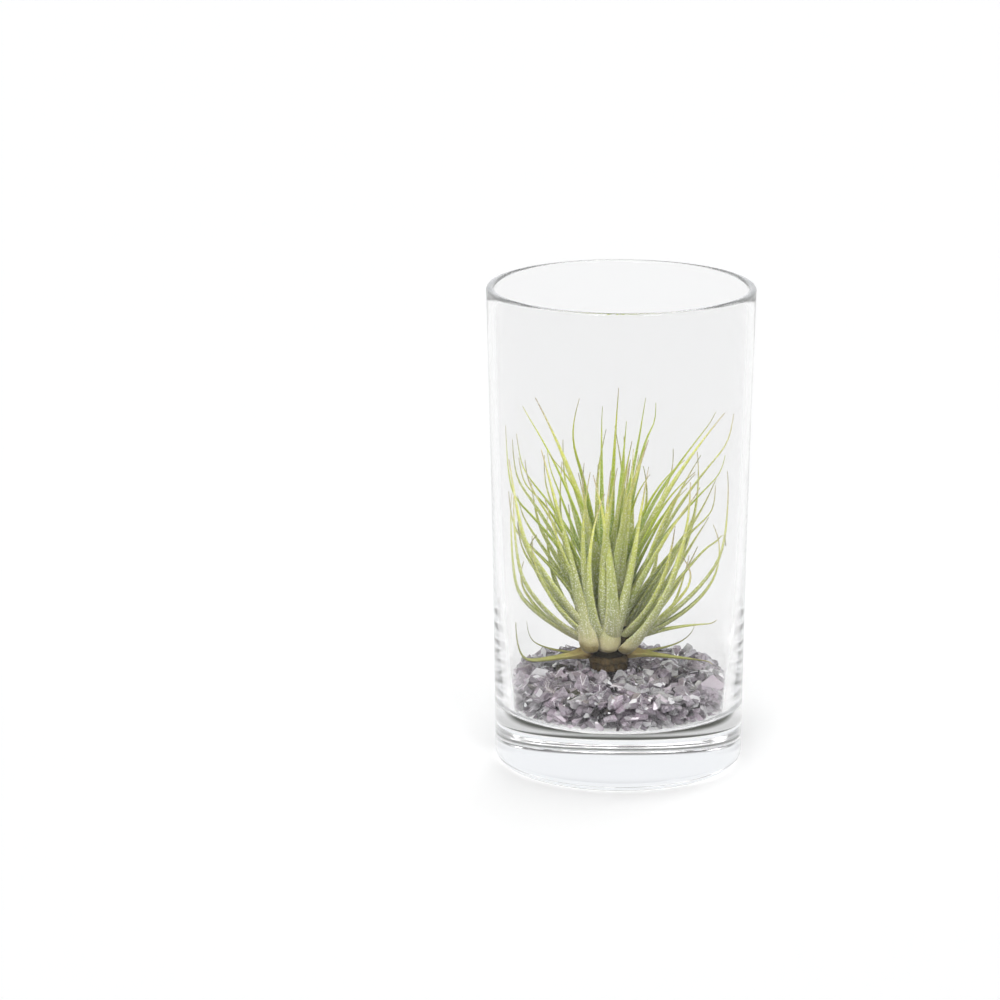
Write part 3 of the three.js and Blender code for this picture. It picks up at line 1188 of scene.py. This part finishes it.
@dataclass
class Rosette:
    """The living leaves, in one spiral rosette. Pairs run from the oldest leaf to the youngest."""

    stand: Stand
    bender: LeafBender
    low: float = 25.9
    leaves: int = 74
    lean: Pair = (72, 4)
    turn: Pair = (-60, 26)
    length: Pair = (50, 67)
    leaning_short: float = 0.3
    sideways_short: float = 0.08
    half_width: Pair = (2.3, 1.7)
    start_radius: Pair = (3.4, 0.6)
    start_lift: Pair = (2, 7.5)
    heart: float = 0.7
    heart_short: float = 20
    lean_back: float = 0.4
    front_long: float = 0.25
    hooked: float = 0.12
    hook_angle: float = 50
    neck_radius: float = 4.2
    leaf_low: float = 27.2
    bulb: tuple[Pair, ...] = ((5.64, 28.4), (6, 30.7), (3.6, 34.9), (0, 37.9))  # radius and height
    crown_sides: int = 32
    old_share: float = 0.42
    rising: float = 0.85  # how early in the spiral the leaves rise
    full_age: float = 0.85  # the share of the spiral by which they have their full length
    growth: float = 1.3
    turn_pace: float = 1.5
    depth: Pair = (1.0, 0.8)
    azimuth_sway: float = 9
    lean_sway: float = 6
    tip_sway: float = 13
    length_sway: float = 0.09
    width_sway: float = 0.14
    drift_most: float = 0.14
    wave_most: float = 9
    twist_most: float = 40

    # How far a plain root and a sheath are lifted at their sides, and how deep their keels are.
    lift: Pair = (0.8, 0.4)
    keel: Pair = (0.85, 1.1)

    # Leaves that are easy to pick out: azimuth, lean, tip lean, how late it bends, length, drift to its
    # left, start radius, start height above the rosette's underside, half width, and how far the root is
    # a sheath.
    feature: tuple[tuple[float, ...], ...] = (
        (356, 63, 88, 0.8, 24.5, 0.0, 3.8, 2.8, 1.5, 0),
        (353, 64, -30, 2.2, 43, 0.02, 3.8, 2.9, 1.9, 0.3),
        (346, 58, -8, 1.5, 56, 0.03, 3.8, 3.1, 2.1, 0),
        (20, 50, -6, 1.2, 53, 0.05, 3.6, 3.2, 2.0, 0),
        (342, 10, 42, 0.7, 66, 0.02, 3.0, 4.6, 2.0, 0),
        (267, 8, 8, 1, 57, 0.17, 4.9, 1.9, 3.0, 1),
        (290, 14, 12, 1, 61, 0.38, 3.2, 4.4, 2.3, 0),
        (226, 15, 8, 1, 54, -0.12, 6.8, 1.9, 2.9, 1),
        (258, 12, 8, 1, 65, -0.24, 3.2, 4.4, 2.4, 0),
        (318, 48, -4, 1, 52, 0.04, 5.0, 1.5, 2.7, 0.7),
        (188, 67, -8, 1.3, 49, -0.02, 4.0, 3.0, 2.2, 0.3),
        (203, 60, -6, 1.2, 48, -0.05, 4.0, 3.0, 2.4, 0.3),
        (218, 42, 20, 1, 56, -0.12, 3.9, 3.3, 2.6, 0),
    )

    def spiral_leaf(self, i: int) -> Leaf:
        """Places a leaf of the spiral.

        Args:
            i: the leaf's number, from the oldest one.

        Returns:
            How it stands.
        """
        age = i / (self.leaves - 1)

        def between(pair: Pair, share: float = age) -> float:
            """A size of this leaf, from the oldest one's and the youngest one's."""
            return lerp(*pair, min(1, share))

        azimuth = i * GOLDEN_ANGLE + self.azimuth_sway * sway(i, 1)
        facing = max(0, -math.sin(math.radians(azimuth))) ** 2
        sideways = math.cos(math.radians(azimuth)) ** 2
        lean = between(self.lean, age**self.rising) + self.lean_sway * sway(i, 2)
        lean *= 1 - self.lean_back * facing
        grown = between(self.length, (age / self.full_age) ** self.growth)
        grown *= 1 - self.leaning_short * math.sin(math.radians(lean))
        grown *= 1 + self.front_long * facing * (1 - age) - self.sideways_short * sideways
        growing = max(0, (age - self.heart) / (1 - self.heart))
        hooked = noise(i, 8) < self.hooked
        return Leaf(
            azimuth=azimuth,
            lean=lean,
            tip_lean=lean + between(self.turn, age * self.turn_pace) + self.tip_sway * sway(i, 3),
            bend=1,
            length=grown * (1 + self.length_sway * sway(i, 4)) - self.heart_short * growing * noise(i, 9),
            drift=self.drift_most * sway(i, 5),
            half_width=between(self.half_width) * (1 + self.width_sway * sway(i, 7)),
            start_radius=between(self.start_radius),
            start_height=self.low + between(self.start_lift),
            wave=self.wave_most * sway(i, 6),
            hook=math.copysign(self.hook_angle, sway(i, 10)) if hooked else 0,
            tone=noise(i, 11),
            twist=self.twist_most * sway(i, 12),
        )

    def feature_leaves(self) -> Iterator[tuple[Leaf, float]]:
        """The leaves that are placed one by one.

        Yields:
            Each leaf, and how far its root is swollen into a sheath.
        """
        for k, (*stance, radius, lift, half, sheath) in enumerate(self.feature):
            yield Leaf(*stance, half, radius, self.low + lift, tone=noise(k, 13)), sheath

    def crown(self) -> Thing:
        """The short stem that the leaves grow from, hidden by their roots.

        Returns:
            The stem.
        """
        neck = [(0, self.low), (self.neck_radius, self.low), (self.neck_radius, self.leaf_low)]
        crown = turned("crown", [*neck, *self.bulb], self.crown_sides)
        self.stand.seat(crown, tone=0.5)
        return crown

    def build(self) -> None:
        """Bends every leaf, and joins them into an outer, a middle, a heart and a front piece."""
        blade = Blade("rosette_blade").build()
        groups: dict[str, list[Thing]] = {"crown": [self.crown()], "outer": [], "middle": [], "heart": []}
        for i in range(self.leaves):
            age = i / (self.leaves - 1)
            group = "outer" if age < self.old_share else "middle" if age < self.heart else "heart"
            leaf = self.bender.bent(blade, f"leaf_{i}", self.spiral_leaf(i), lerp(*self.depth, age))
            groups[group].append(leaf)
        groups["front"] = []
        for k, (leaf, sheath) in enumerate(self.feature_leaves()):
            lift, keel = lerp(*self.lift, sheath), lerp(*self.keel, sheath)
            sheathed = Blade(f"sheathed_blade_{k}", sheath=sheath, lift=lift, keel=keel).build()
            groups["front"].append(self.bender.bent(sheathed, f"front_leaf_{k}", leaf, 1.0))
            removed(sheathed)
        removed(blade)
        finishes = leaf_finishes()
        for name, things in groups.items():
            fitted(joined(f"rosette_{name}", things), finishes[name].material(), "green_leaf", "rosette")


def leaf_finishes() -> dict[str, LeafFinish | DeadFinish]:
    """The finish of each group of living leaves, and of the crown between their roots.

    Returns:
        The finishes by the group's name.
    """
    tip = ((0.82, "e0e068"), (0.95, "c4a986"), (1.0, "947a70"))
    grown = ((0.0, "8a7c4c"), (0.03, "c6bc90"), (0.1, "b6b482"), (0.3, "aeb668"), (0.55, "bec658"), *tip)
    # The middle and heart leaves are darker low down than the outer ones: partly their own greener colour,
    # partly painted shade for the shade deep in the rosette.
    inner = ((0.0, "6e6438"), (0.05, "7c7c44"), (0.3, "929e50"), (0.55, "b2bc4e"), *tip)
    young = (
        (0.0, "6e6438"), (0.15, "7e8a3c"), (0.4, "90a62a"),
        (0.7, "b8c82c"), (0.9, "d8dc4c"), (1.0, "ad927e"),
    )
    bark = ((0.0, "1c1508"), (0.5, "3a3016"), (1.0, "544624"))
    return {
        "crown": DeadFinish("crown_skin", bark, "4a3c22"),
        "outer": LeafFinish("outer_leaf", grown, "e4e880", "78864a"),
        "middle": LeafFinish("middle_leaf", inner, "e4e878", "6c8038", scurf_low=0.75),
        "heart": LeafFinish("heart_leaf", young, "d4e050", "688226", scurf_low=0.7, scurf_high=0.3),
        "front": LeafFinish("front_leaf", grown, "e0e488", "7a8848"),
    }


DEAD_STEM = DeadFinish(
    "dead_stem", ((0.0, "140d06"), (0.5, "5e4a2c"), (1.0, "8a7246")), "80704c", streaks=0.85
)


@dataclass
class WitheredLeaves:
    """The dead leaves that lie low over the chips, and the collar of dead roots that they grow from."""

    stand: Stand
    bender: LeafBender
    collar_top: float = 25.6
    collar_side: tuple[Pair, ...] = ((0, 24), (4.753, 24), (5.096, 24.6), (4.9, 25.2), (4.557, 25.6))

    # Azimuth, lean, tip lean, how late it bends, length, drift, half width, start radius, start height
    # above the collar's top, depth at the root, and how far the root is swollen.
    leaves: tuple[tuple[float, ...], ...] = (
        (192, 95, 0, 4, 28, 0.06, 2.2, 4.2, 0.6, 1.4, 1),
        (352, 93, 94, 1.5, 22.5, -0.03, 2.1, 4.2, 0.6, 1.4, 1),
        (20, 88, 10, 5, 24, 0.1, 1.2, 3, -0.7, 0.7, 0),
        (166, 88, 14, 4, 23, -0.08, 1.1, 3, -0.7, 0.7, 0),
        (75, 88, 70, 3, 22, 0.1, 1.4, 3, -0.7, 0.7, 0),
        (116, 88, 80, 3, 20, -0.12, 1.3, 3, -0.7, 0.7, 0),
    )
    straw: Stops = (
        (0.0, "30240f"), (0.03, "6e5836"), (0.1, "b09c66"),
        (0.28, "a09c5c"), (0.6, "989c58"), (1.0, "8f8a52"),
    )
    fibre: str = "c2ba80"

    def collar(self) -> None:
        """The ring of dead leaf roots round the stem."""
        collar = turned("collar", [*self.collar_side, (0, self.collar_top)], steps=40)
        roughened(collar, cuts=1, depth=0.3, seed=4, spun=True)
        self.stand.seat(collar, tone=0.4)
        fitted(joined("dead_collar", [collar]), DEAD_STEM.material(), "withered_leaf", "withered_leaves")

    def build(self) -> None:
        """Turns the collar, and bends the dead leaves and joins them."""
        things = []
        for k, (*stance, lift, depth, sheath) in enumerate(self.leaves):
            leaf = Leaf(*stance, self.collar_top + lift, tone=noise(k, 14))
            blade = Blade(f"withered_blade_{k}", lift=0.5, keel=0.5, channel=0.1, sheath=sheath).build()
            things.append(self.bender.bent(blade, f"withered_{k}", leaf, depth))
            removed(blade)
        remains = joined("withered_leaf_remains", things)
        self.collar()
        straw = DeadFinish("straw", self.straw, self.fibre).material()
        fitted(remains, straw, "withered_leaf", "withered_leaves")


@dataclass
class RootStub:
    """The short dark dead stem end that the plant stands on."""

    stand: Stand
    radius: float = 4.6
    low: float = 22.3
    top: float = 24.0
    rim: float = 0.6
    sides: int = 56

    def build(self) -> None:
        """Draws the stub up from a disc, with a ragged skin."""
        stub = added(
            bpy.ops.mesh.primitive_cylinder_add,
            "stub",
            vertices=self.sides,
            radius=self.radius,
            depth=self.top - self.low,
            location=(0, 0, (self.low + self.top) / 2),
        )
        settled(stub)
        with edit_mode(stub):
            pick(stub, lambda place: place.z > self.top - 0.01)
            bpy.ops.mesh.inset(thickness=self.rim)
        roughened(stub, cuts=2, depth=0.3, seed=5)
        bpy.ops.object.shade_smooth()
        self.stand.seat(stub, tone=0.4)
        fitted(joined("stem_stub", [stub]), DEAD_STEM.material(), "dead_stem", "root_stub")


# ---- The studio ----


@dataclass(frozen=True)
class Studio:
    """A plain pale floor, soft light, and the camera at the photograph's angle, placed in metres."""

    camera_place: tuple[float, float, float] = (-0.029547, -1.074474, 0.343584)
    camera_pitch: float = 0.2528
    lens: float = 162
    sensor: float = 36
    floor_size: float = 9
    floor_glow: float = 0.12
    shade_place: float = 45  # mm, like the sizes of the painted shadow and of the painted contact-shadow ring
    shade_slim: float = 4.5
    shade_edge: Pair = (12, 28)
    contact_shadow_inside: Pair = (24.8, 26)
    contact_shadow_outside: Pair = (27, 28.2)
    contact_shadow_depth: float = 0.7
    floor_shade: str = "50524a"
    pale: str = "f5f5f5"
    room: Stops = ((0.0, "f6f8fb"), (0.36, "f6f8fb"), (0.55, "8c8c8c"), (0.95, "606060"))
    room_light: float = 1.03
    front_wall: str = "606060"
    wall_edge: Pair = (0.1, 0.6)
    # Each lamp's pitch and roll in degrees, its strength, and its width in degrees.
    lamps: tuple[tuple[float, ...], ...] = (
        (24, -14, 1.0, 35), (45, 30, 0.75, 16), (52, -30, 0.75, 16), (-30, 12, 0.6, 20),
    )
    bounces: int = 96

    @staticmethod
    def away(paint: Paint, place: Channel) -> Channel:
        """How far a place is from the tumbler's axis."""
        return paint.node("VectorMath", {"operation": "LENGTH"}, {0: place}, output=1)

    def floor(self) -> None:
        """The pale floor, with painted shade that the glass shows: a painted shadow behind the tumbler and a
        painted contact-shadow ring under its foot.
        """
        floor = added(bpy.ops.mesh.primitive_plane_add, "floor", size=self.floor_size)
        paint = Paint("pale_floor")
        place, scale = (0, -self.shade_slim * self.shade_place, 0), (1, self.shade_slim, 0)
        slim = {"Vector": paint.place(), "Location": place, "Scale": scale}
        # Painted shadow: a soft dark patch on the floor just behind the tumbler.
        shade = self.away(paint, paint.node("Mapping", {}, slim)).rise(*self.shade_edge)
        # Rays from the camera see the floor without the painted shadow; only rays through the glass see it.
        seen_bare = paint.node("LightPath")
        floor_with_painted_shade = paint.blend(shade + seen_bare, self.floor_shade, self.pale)
        # Painted contact shadow: a dark ring on the floor under the tumbler's foot.
        ring = self.away(paint, paint.place())
        ring = ring.rise(*self.contact_shadow_inside) * (1 - ring.rise(*self.contact_shadow_outside))
        floor_with_painted_shade = paint.blend(ring * self.contact_shadow_depth, floor_with_painted_shade, self.floor_shade)
        glow = {"Emission_Color": floor_with_painted_shade, "Emission_Strength": self.floor_glow}
        floor.data.materials.append(paint.done(paint.surface(Base_Color=floor_with_painted_shade, Roughness=0.9, **glow)))

    def light(self) -> None:
        """A soft overhead light, and a grey room round it."""
        room = Paint("room", world=True)
        ray = room.node("TexCoord")
        height, away = (room.node("SeparateXYZ", {}, {0: ray}, output=k) for k in (2, 1))
        front = (-1 * away).rise(*self.wall_edge)
        wall = room.blend(front, room.ramp(height, self.room), self.front_wall)
        light = room.node("Background", {}, {0: wall, 1: self.room_light})
        bpy.context.scene.world = room.done(light)
        for k, (pitch, roll, strength, angle) in enumerate(self.lamps):
            turn = (math.radians(pitch), math.radians(roll), 0)
            lamp = added(bpy.ops.object.light_add, f"lamp_{k}", type="SUN", rotation=turn)
            lamp.data.energy = strength
            lamp.data.angle = math.radians(angle)

    def camera(self) -> None:
        """The camera."""
        camera = added(bpy.ops.object.camera_add, "camera", location=self.camera_place)
        camera.rotation_euler = (math.pi / 2 - self.camera_pitch, 0, 0)
        camera.data.lens = self.lens
        camera.data.sensor_width = self.sensor
        camera.data.clip_start = 0.01
        bpy.context.scene.camera = camera

    def build(self) -> None:
        """Sets the whole studio up, with colours shown as they are."""
        self.camera()
        self.floor()
        self.light()
        bpy.context.scene.view_settings.view_transform = "Standard"
        for kind in ("max_bounces", "glossy_bounces", "transmission_bounces"):
            setattr(bpy.context.scene.cycles, kind, self.bounces)


def main() -> None:
    """Builds the object from the outside in, and then the studio."""
    logging.basicConfig(level=logging.INFO, format="%(message)s")
    tumbler = Tumbler()
    tumbler.build()
    ChipBed(tumbler).build()
    stand = Stand(tumbler)
    RootStub(stand).build()
    bender = LeafBender(stand)
    WitheredLeaves(stand, bender).build()
    Rosette(stand, bender).build()
    removed(bender.path)
    Studio().build()


if __name__ == "__main__":
    main()
